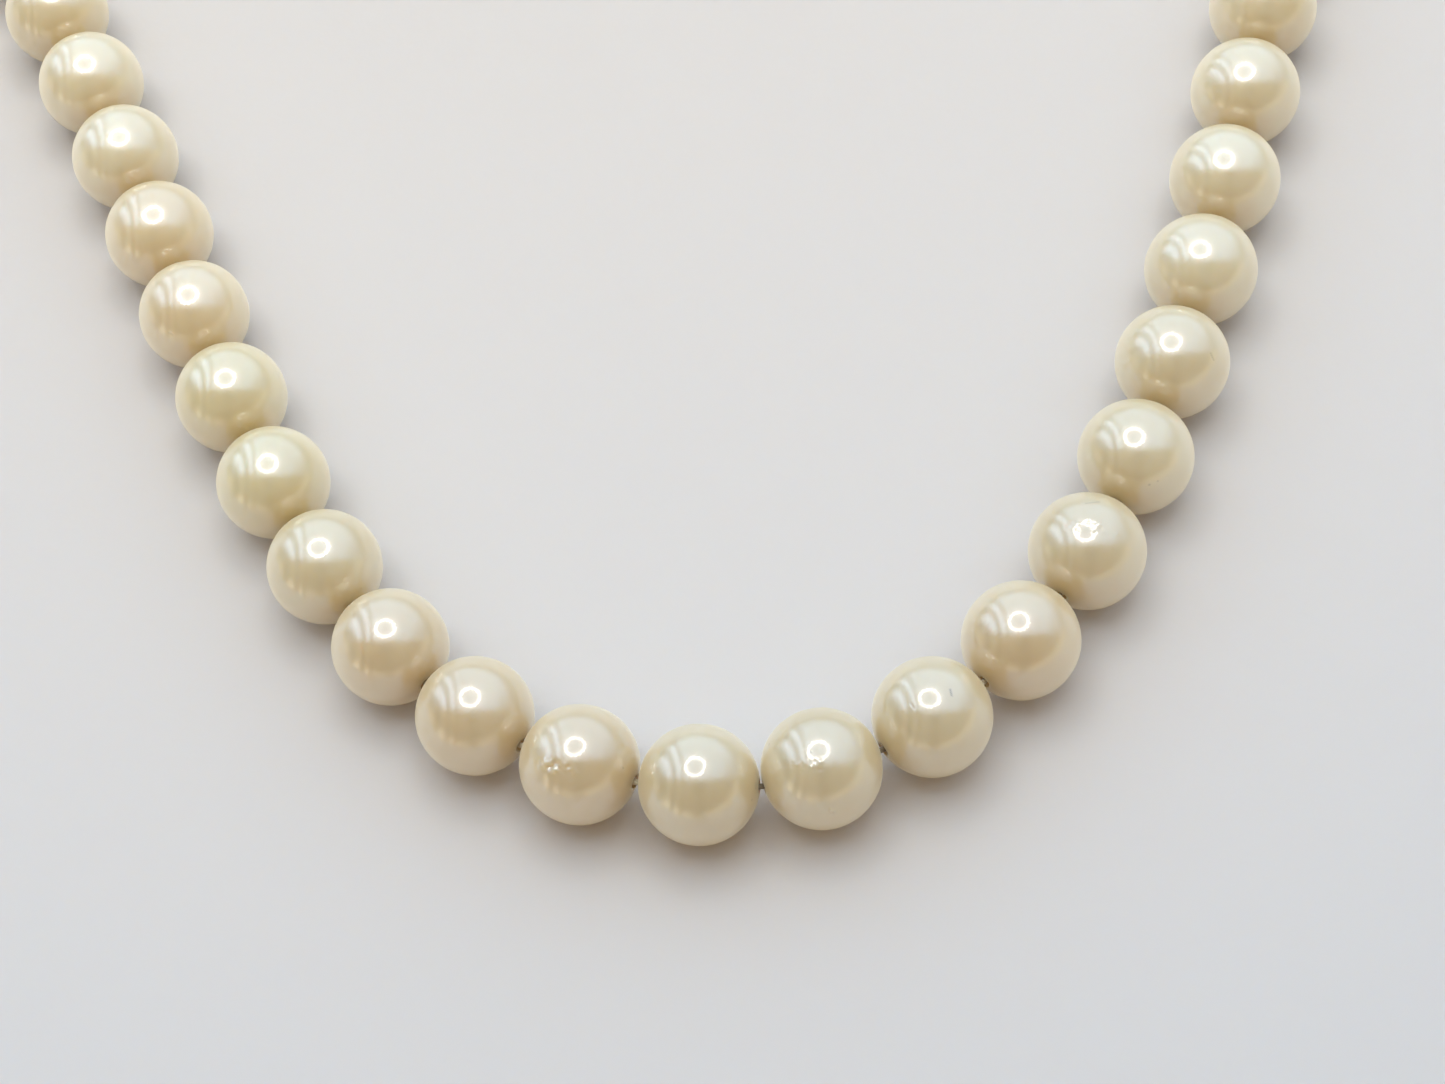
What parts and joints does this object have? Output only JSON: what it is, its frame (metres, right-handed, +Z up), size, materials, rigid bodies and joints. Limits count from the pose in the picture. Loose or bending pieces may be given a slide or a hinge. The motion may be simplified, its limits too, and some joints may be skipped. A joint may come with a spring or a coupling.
{
  "type": "pearl necklace",
  "caption": "Single-row pearl necklace, strung on silk and laid in an open U, its gilt box-and-tongue clasp undone.",
  "frame": {"origin": "centre of the footprint, on the surface that the strand lies on", "axes": "+Z up from the surface; +X across the U; +Y the way the two arms open, away from the front pearl"},
  "size_m": [0.1778, 0.1852, 0.0075],
  "materials": {
    "nacre": "gloss",
    "silk": "matte",
    "gilt": "polished"
  },
  "bodies": {
    "front": {"pearl_front": "nacre", "silk_thread": "silk"},
    "pearl_right_01": {"pearl_right_01": "nacre"},
    "pearl_right_02": {"pearl_right_02": "nacre"},
    "pearl_right_03": {"pearl_right_03": "nacre"},
    "pearl_right_04": {"pearl_right_04": "nacre"},
    "pearl_right_05": {"pearl_right_05": "nacre"},
    "pearl_right_06": {"pearl_right_06": "nacre"},
    "pearl_right_07": {"pearl_right_07": "nacre"},
    "pearl_right_08": {"pearl_right_08": "nacre"},
    "pearl_right_09": {"pearl_right_09": "nacre"},
    "pearl_right_10": {"pearl_right_10": "nacre"},
    "pearl_right_11": {"pearl_right_11": "nacre"},
    "pearl_right_12": {"pearl_right_12": "nacre"},
    "pearl_right_13": {"pearl_right_13": "nacre"},
    "pearl_right_14": {"pearl_right_14": "nacre"},
    "pearl_right_15": {"pearl_right_15": "nacre"},
    "pearl_right_16": {"pearl_right_16": "nacre"},
    "pearl_right_17": {"pearl_right_17": "nacre"},
    "pearl_right_18": {"pearl_right_18": "nacre"},
    "pearl_right_19": {"pearl_right_19": "nacre"},
    "pearl_right_20": {"pearl_right_20": "nacre"},
    "pearl_right_21": {"pearl_right_21": "nacre"},
    "pearl_right_22": {"pearl_right_22": "nacre"},
    "pearl_right_23": {"pearl_right_23": "nacre"},
    "pearl_right_24": {"pearl_right_24": "nacre"},
    "bullion_right": {"bullion_right": "gilt"},
    "jump_ring_right": {"jump_ring_right": "gilt"},
    "clasp_case": {"clasp_tray": "gilt", "clasp_lid": "gilt", "clasp_crossbar": "gilt"},
    "pearl_left_01": {"pearl_left_01": "nacre"},
    "pearl_left_02": {"pearl_left_02": "nacre"},
    "pearl_left_03": {"pearl_left_03": "nacre"},
    "pearl_left_04": {"pearl_left_04": "nacre"},
    "pearl_left_05": {"pearl_left_05": "nacre"},
    "pearl_left_06": {"pearl_left_06": "nacre"},
    "pearl_left_07": {"pearl_left_07": "nacre"},
    "pearl_left_08": {"pearl_left_08": "nacre"},
    "pearl_left_09": {"pearl_left_09": "nacre"},
    "pearl_left_10": {"pearl_left_10": "nacre"},
    "pearl_left_11": {"pearl_left_11": "nacre"},
    "pearl_left_12": {"pearl_left_12": "nacre"},
    "pearl_left_13": {"pearl_left_13": "nacre"},
    "pearl_left_14": {"pearl_left_14": "nacre"},
    "pearl_left_15": {"pearl_left_15": "nacre"},
    "pearl_left_16": {"pearl_left_16": "nacre"},
    "pearl_left_17": {"pearl_left_17": "nacre"},
    "pearl_left_18": {"pearl_left_18": "nacre"},
    "pearl_left_19": {"pearl_left_19": "nacre"},
    "pearl_left_20": {"pearl_left_20": "nacre"},
    "pearl_left_21": {"pearl_left_21": "nacre"},
    "pearl_left_22": {"pearl_left_22": "nacre"},
    "pearl_left_23": {"pearl_left_23": "nacre"},
    "pearl_left_24": {"pearl_left_24": "nacre"},
    "bullion_left": {"bullion_left": "gilt"},
    "jump_ring_left": {"jump_ring_left": "gilt"},
    "clasp_tongue": {"clasp_tongue": "gilt"},
    "clasp_spring_leaf": {"clasp_spring_leaf": "gilt"}
  },
  "joints": [
    {"name": "spring_leaf_press", "type": "hinge", "parent": "clasp_tongue", "child": "clasp_spring_leaf", "pos_m": [-0.0873, 0.09126, 0.00138], "axis": [0.9045, 0.4264, 0], "range_deg": [0, 8], "stiffness_Nm_per_rad": 0.1},
    {"name": "clasp_tongue_swing", "type": "hinge", "parent": "jump_ring_left", "child": "clasp_tongue", "pos_m": [-0.08296, 0.08205, 0.0021], "axis": [0, 0, -1], "range_deg": [-50, 50]},
    {"name": "clasp_case_swing", "type": "hinge", "parent": "jump_ring_right", "child": "clasp_case", "pos_m": [0.08238, 0.07556, 0.0021], "axis": [0, 0, 1], "range_deg": [-50, 50]},
    {"name": "jump_ring_left_swing", "type": "hinge", "parent": "bullion_left", "child": "jump_ring_left", "pos_m": [-0.08168, 0.07933, 0.00319], "axis": [0, 0, 1], "range_deg": [-50, 50]},
    {"name": "jump_ring_right_swing", "type": "hinge", "parent": "bullion_right", "child": "jump_ring_right", "pos_m": [0.08156, 0.07267, 0.00319], "axis": [0, 0, -1], "range_deg": [-50, 50]},
    {"name": "bullion_left_flex", "type": "hinge", "parent": "pearl_left_24", "child": "bullion_left", "pos_m": [-0.08073, 0.07731, 0.00375], "axis": [0, 0, -1], "range_deg": [-18, 18], "deforming": ["silk_thread"]},
    {"name": "bullion_right_flex", "type": "hinge", "parent": "pearl_right_24", "child": "bullion_right", "pos_m": [0.08095, 0.07052, 0.00375], "axis": [0, 0, 1], "range_deg": [-18, 18], "deforming": ["silk_thread"]},
    {"name": "gap_right_01", "type": "hinge", "parent": "front", "child": "pearl_right_01", "pos_m": [0.0034, -0.08944, 0.00375], "axis": [0, 0, 1], "range_deg": [-44.41, 3.59], "deforming": ["silk_thread"]},
    {"name": "gap_left_01", "type": "hinge", "parent": "front", "child": "pearl_left_01", "pos_m": [-0.00413, -0.08786, 0.00375], "axis": [0, 0, -1], "range_deg": [-40.67, 7.33], "deforming": ["silk_thread"]},
    {"name": "gap_right_02", "type": "hinge", "parent": "pearl_right_01", "child": "pearl_right_02", "pos_m": [0.01102, -0.08828, 0.00375], "axis": [0, 0, 1], "range_deg": [-42.16, 5.84], "deforming": ["silk_thread"]},
    {"name": "gap_left_02", "type": "hinge", "parent": "pearl_left_01", "child": "pearl_left_02", "pos_m": [-0.0109, -0.08419, 0.00375], "axis": [0, 0, -1], "range_deg": [-38.98, 9.02], "deforming": ["silk_thread"]},
    {"name": "gap_right_03", "type": "hinge", "parent": "pearl_right_02", "child": "pearl_right_03", "pos_m": [0.01789, -0.08482, 0.00375], "axis": [0, 0, -1], "range_deg": [-9.56, 38.44], "deforming": ["silk_thread"]},
    {"name": "gap_left_03", "type": "hinge", "parent": "pearl_left_02", "child": "pearl_left_03", "pos_m": [-0.01649, -0.0789, 0.00375], "axis": [0, 0, 1], "range_deg": [-11.97, 36.03], "deforming": ["silk_thread"]},
    {"name": "gap_right_04", "type": "hinge", "parent": "pearl_right_03", "child": "pearl_right_04", "pos_m": [0.02368, -0.07974, 0.00375], "axis": [0, 0, -1], "range_deg": [-13.67, 34.33], "deforming": ["silk_thread"]},
    {"name": "gap_left_04", "type": "hinge", "parent": "pearl_left_03", "child": "pearl_left_04", "pos_m": [-0.02086, -0.07255, 0.00375], "axis": [0, 0, 1], "range_deg": [-15.43, 32.57], "deforming": ["silk_thread"]},
    {"name": "gap_right_05", "type": "hinge", "parent": "pearl_right_04", "child": "pearl_right_05", "pos_m": [0.02847, -0.07371, 0.00375], "axis": [0, 0, -1], "range_deg": [-17.27, 30.73], "deforming": ["silk_thread"]},
    {"name": "gap_left_05", "type": "hinge", "parent": "pearl_left_04", "child": "pearl_left_05", "pos_m": [-0.02423, -0.06563, 0.00375], "axis": [0, 0, 1], "range_deg": [-18.68, 29.32], "deforming": ["silk_thread"]},
    {"name": "gap_right_06", "type": "hinge", "parent": "pearl_right_05", "child": "pearl_right_06", "pos_m": [0.03252, -0.06717, 0.00375], "axis": [0, 0, -1], "range_deg": [-19.9, 28.1], "deforming": ["silk_thread"]},
    {"name": "gap_left_06", "type": "hinge", "parent": "pearl_left_05", "child": "pearl_left_06", "pos_m": [-0.02694, -0.05842, 0.00375], "axis": [0, 0, 1], "range_deg": [-21.25, 26.75], "deforming": ["silk_thread"]},
    {"name": "gap_right_07", "type": "hinge", "parent": "pearl_right_06", "child": "pearl_right_07", "pos_m": [0.03609, -0.06034, 0.00375], "axis": [0, 0, 1], "range_deg": [-26.45, 21.55], "deforming": ["silk_thread"]},
    {"name": "gap_left_07", "type": "hinge", "parent": "pearl_left_06", "child": "pearl_left_07", "pos_m": [-0.02931, -0.0511, 0.00375], "axis": [0, 0, -1], "range_deg": [-24.99, 23.01], "deforming": ["silk_thread"]},
    {"name": "gap_right_08", "type": "hinge", "parent": "pearl_right_07", "child": "pearl_right_08", "pos_m": [0.03937, -0.05338, 0.00375], "axis": [0, 0, 1], "range_deg": [-25.55, 22.45], "deforming": ["silk_thread"]},
    {"name": "gap_left_08", "type": "hinge", "parent": "pearl_left_07", "child": "pearl_left_08", "pos_m": [-0.03155, -0.04373, 0.00375], "axis": [0, 0, -1], "range_deg": [-23.95, 24.05], "deforming": ["silk_thread"]},
    {"name": "gap_right_09", "type": "hinge", "parent": "pearl_right_08", "child": "pearl_right_09", "pos_m": [0.04246, -0.04632, 0.00375], "axis": [0, 0, 1], "range_deg": [-25.1, 22.9], "deforming": ["silk_thread"]},
    {"name": "gap_left_09", "type": "hinge", "parent": "pearl_left_08", "child": "pearl_left_09", "pos_m": [-0.03379, -0.03636, 0.00375], "axis": [0, 0, -1], "range_deg": [-23.41, 24.59], "deforming": ["silk_thread"]},
    {"name": "gap_right_10", "type": "hinge", "parent": "pearl_right_09", "child": "pearl_right_10", "pos_m": [0.04541, -0.03921, 0.00375], "axis": [0, 0, 1], "range_deg": [-24.89, 23.11], "deforming": ["silk_thread"]},
    {"name": "gap_left_10", "type": "hinge", "parent": "pearl_left_09", "child": "pearl_left_10", "pos_m": [-0.03611, -0.02902, 0.00375], "axis": [0, 0, -1], "range_deg": [-23.19, 24.81], "deforming": ["silk_thread"]},
    {"name": "gap_right_11", "type": "hinge", "parent": "pearl_right_10", "child": "pearl_right_11", "pos_m": [0.04825, -0.03205, 0.00375], "axis": [0, 0, -1], "range_deg": [-23.22, 24.78], "deforming": ["silk_thread"]},
    {"name": "gap_left_11", "type": "hinge", "parent": "pearl_left_10", "child": "pearl_left_11", "pos_m": [-0.03854, -0.02171, 0.00375], "axis": [0, 0, 1], "range_deg": [-24.86, 23.14], "deforming": ["silk_thread"]},
    {"name": "gap_right_12", "type": "hinge", "parent": "pearl_right_11", "child": "pearl_right_12", "pos_m": [0.05099, -0.02486, 0.00375], "axis": [0, 0, -1], "range_deg": [-23.29, 24.71], "deforming": ["silk_thread"]},
    {"name": "gap_left_12", "type": "hinge", "parent": "pearl_left_11", "child": "pearl_left_12", "pos_m": [-0.04107, -0.01444, 0.00375], "axis": [0, 0, 1], "range_deg": [-24.84, 23.16], "deforming": ["silk_thread"]},
    {"name": "gap_right_13", "type": "hinge", "parent": "pearl_right_12", "child": "pearl_right_13", "pos_m": [0.05364, -0.01763, 0.00375], "axis": [0, 0, -1], "range_deg": [-23.35, 24.65], "deforming": ["silk_thread"]},
    {"name": "gap_left_13", "type": "hinge", "parent": "pearl_left_12", "child": "pearl_left_13", "pos_m": [-0.04371, -0.00721, 0.00375], "axis": [0, 0, 1], "range_deg": [-24.79, 23.21], "deforming": ["silk_thread"]},
    {"name": "gap_right_14", "type": "hinge", "parent": "pearl_right_13", "child": "pearl_right_14", "pos_m": [0.05621, -0.01037, 0.00375], "axis": [0, 0, -1], "range_deg": [-23.4, 24.6], "deforming": ["silk_thread"]},
    {"name": "gap_left_14", "type": "hinge", "parent": "pearl_left_13", "child": "pearl_left_14", "pos_m": [-0.04645, -0.00001, 0.00375], "axis": [0, 0, 1], "range_deg": [-24.73, 23.27], "deforming": ["silk_thread"]},
    {"name": "gap_right_15", "type": "hinge", "parent": "pearl_right_14", "child": "pearl_right_15", "pos_m": [0.0587, -0.00308, 0.00375], "axis": [0, 0, 1], "range_deg": [-24.54, 23.46], "deforming": ["silk_thread"]},
    {"name": "gap_left_15", "type": "hinge", "parent": "pearl_left_14", "child": "pearl_left_15", "pos_m": [-0.04928, 0.00715, 0.00375], "axis": [0, 0, -1], "range_deg": [-23.33, 24.67], "deforming": ["silk_thread"]},
    {"name": "gap_right_16", "type": "hinge", "parent": "pearl_right_15", "child": "pearl_right_16", "pos_m": [0.06113, 0.00422, 0.00375], "axis": [0, 0, 1], "range_deg": [-24.49, 23.51], "deforming": ["silk_thread"]},
    {"name": "gap_left_16", "type": "hinge", "parent": "pearl_left_15", "child": "pearl_left_16", "pos_m": [-0.05219, 0.01428, 0.00375], "axis": [0, 0, -1], "range_deg": [-23.4, 24.6], "deforming": ["silk_thread"]},
    {"name": "gap_right_17", "type": "hinge", "parent": "pearl_right_16", "child": "pearl_right_17", "pos_m": [0.06349, 0.01155, 0.00375], "axis": [0, 0, 1], "range_deg": [-24.43, 23.57], "deforming": ["silk_thread"]},
    {"name": "gap_left_17", "type": "hinge", "parent": "pearl_left_16", "child": "pearl_left_17", "pos_m": [-0.05518, 0.02137, 0.00375], "axis": [0, 0, -1], "range_deg": [-23.47, 24.53], "deforming": ["silk_thread"]},
    {"name": "gap_right_18", "type": "hinge", "parent": "pearl_right_17", "child": "pearl_right_18", "pos_m": [0.0658, 0.0189, 0.00375], "axis": [0, 0, 1], "range_deg": [-24.38, 23.62], "deforming": ["silk_thread"]},
    {"name": "gap_left_18", "type": "hinge", "parent": "pearl_left_17", "child": "pearl_left_18", "pos_m": [-0.05824, 0.02844, 0.00375], "axis": [0, 0, -1], "range_deg": [-23.53, 24.47], "deforming": ["silk_thread"]},
    {"name": "gap_right_19", "type": "hinge", "parent": "pearl_right_18", "child": "pearl_right_19", "pos_m": [0.06806, 0.02626, 0.00375], "axis": [0, 0, -1], "range_deg": [-23.67, 24.33], "deforming": ["silk_thread"]},
    {"name": "gap_left_19", "type": "hinge", "parent": "pearl_left_18", "child": "pearl_left_19", "pos_m": [-0.06135, 0.03548, 0.00375], "axis": [0, 0, 1], "range_deg": [-24.4, 23.6], "deforming": ["silk_thread"]},
    {"name": "gap_right_20", "type": "hinge", "parent": "pearl_right_19", "child": "pearl_right_20", "pos_m": [0.07027, 0.03363, 0.00375], "axis": [0, 0, -1], "range_deg": [-23.73, 24.27], "deforming": ["silk_thread"]},
    {"name": "gap_left_20", "type": "hinge", "parent": "pearl_left_19", "child": "pearl_left_20", "pos_m": [-0.06451, 0.0425, 0.00375], "axis": [0, 0, 1], "range_deg": [-24.33, 23.67], "deforming": ["silk_thread"]},
    {"name": "gap_right_21", "type": "hinge", "parent": "pearl_right_20", "child": "pearl_right_21", "pos_m": [0.07246, 0.04102, 0.00375], "axis": [0, 0, -1], "range_deg": [-23.78, 24.22], "deforming": ["silk_thread"]},
    {"name": "gap_left_21", "type": "hinge", "parent": "pearl_left_20", "child": "pearl_left_21", "pos_m": [-0.06771, 0.04951, 0.00375], "axis": [0, 0, 1], "range_deg": [-24.27, 23.73], "deforming": ["silk_thread"]},
    {"name": "gap_right_22", "type": "hinge", "parent": "pearl_right_21", "child": "pearl_right_22", "pos_m": [0.07461, 0.04841, 0.00375], "axis": [0, 0, -1], "range_deg": [-23.84, 24.16], "deforming": ["silk_thread"]},
    {"name": "gap_left_22", "type": "hinge", "parent": "pearl_left_21", "child": "pearl_left_22", "pos_m": [-0.07095, 0.05649, 0.00375], "axis": [0, 0, 1], "range_deg": [-24.2, 23.8], "deforming": ["silk_thread"]},
    {"name": "gap_right_23", "type": "hinge", "parent": "pearl_right_22", "child": "pearl_right_23", "pos_m": [0.07674, 0.05581, 0.00375], "axis": [0, 0, 1], "range_deg": [-24.11, 23.89], "deforming": ["silk_thread"]},
    {"name": "gap_left_23", "type": "hinge", "parent": "pearl_left_22", "child": "pearl_left_23", "pos_m": [-0.07421, 0.06347, 0.00375], "axis": [0, 0, -1], "range_deg": [-23.87, 24.13], "deforming": ["silk_thread"]},
    {"name": "gap_right_24", "type": "hinge", "parent": "pearl_right_23", "child": "pearl_right_24", "pos_m": [0.07886, 0.06321, 0.00375], "axis": [0, 0, 1], "range_deg": [-24.05, 23.95], "deforming": ["silk_thread"]},
    {"name": "gap_left_24", "type": "hinge", "parent": "pearl_left_23", "child": "pearl_left_24", "pos_m": [-0.07748, 0.07044, 0.00375], "axis": [0, 0, -1], "range_deg": [-23.93, 24.07], "deforming": ["silk_thread"]}
  ]
}
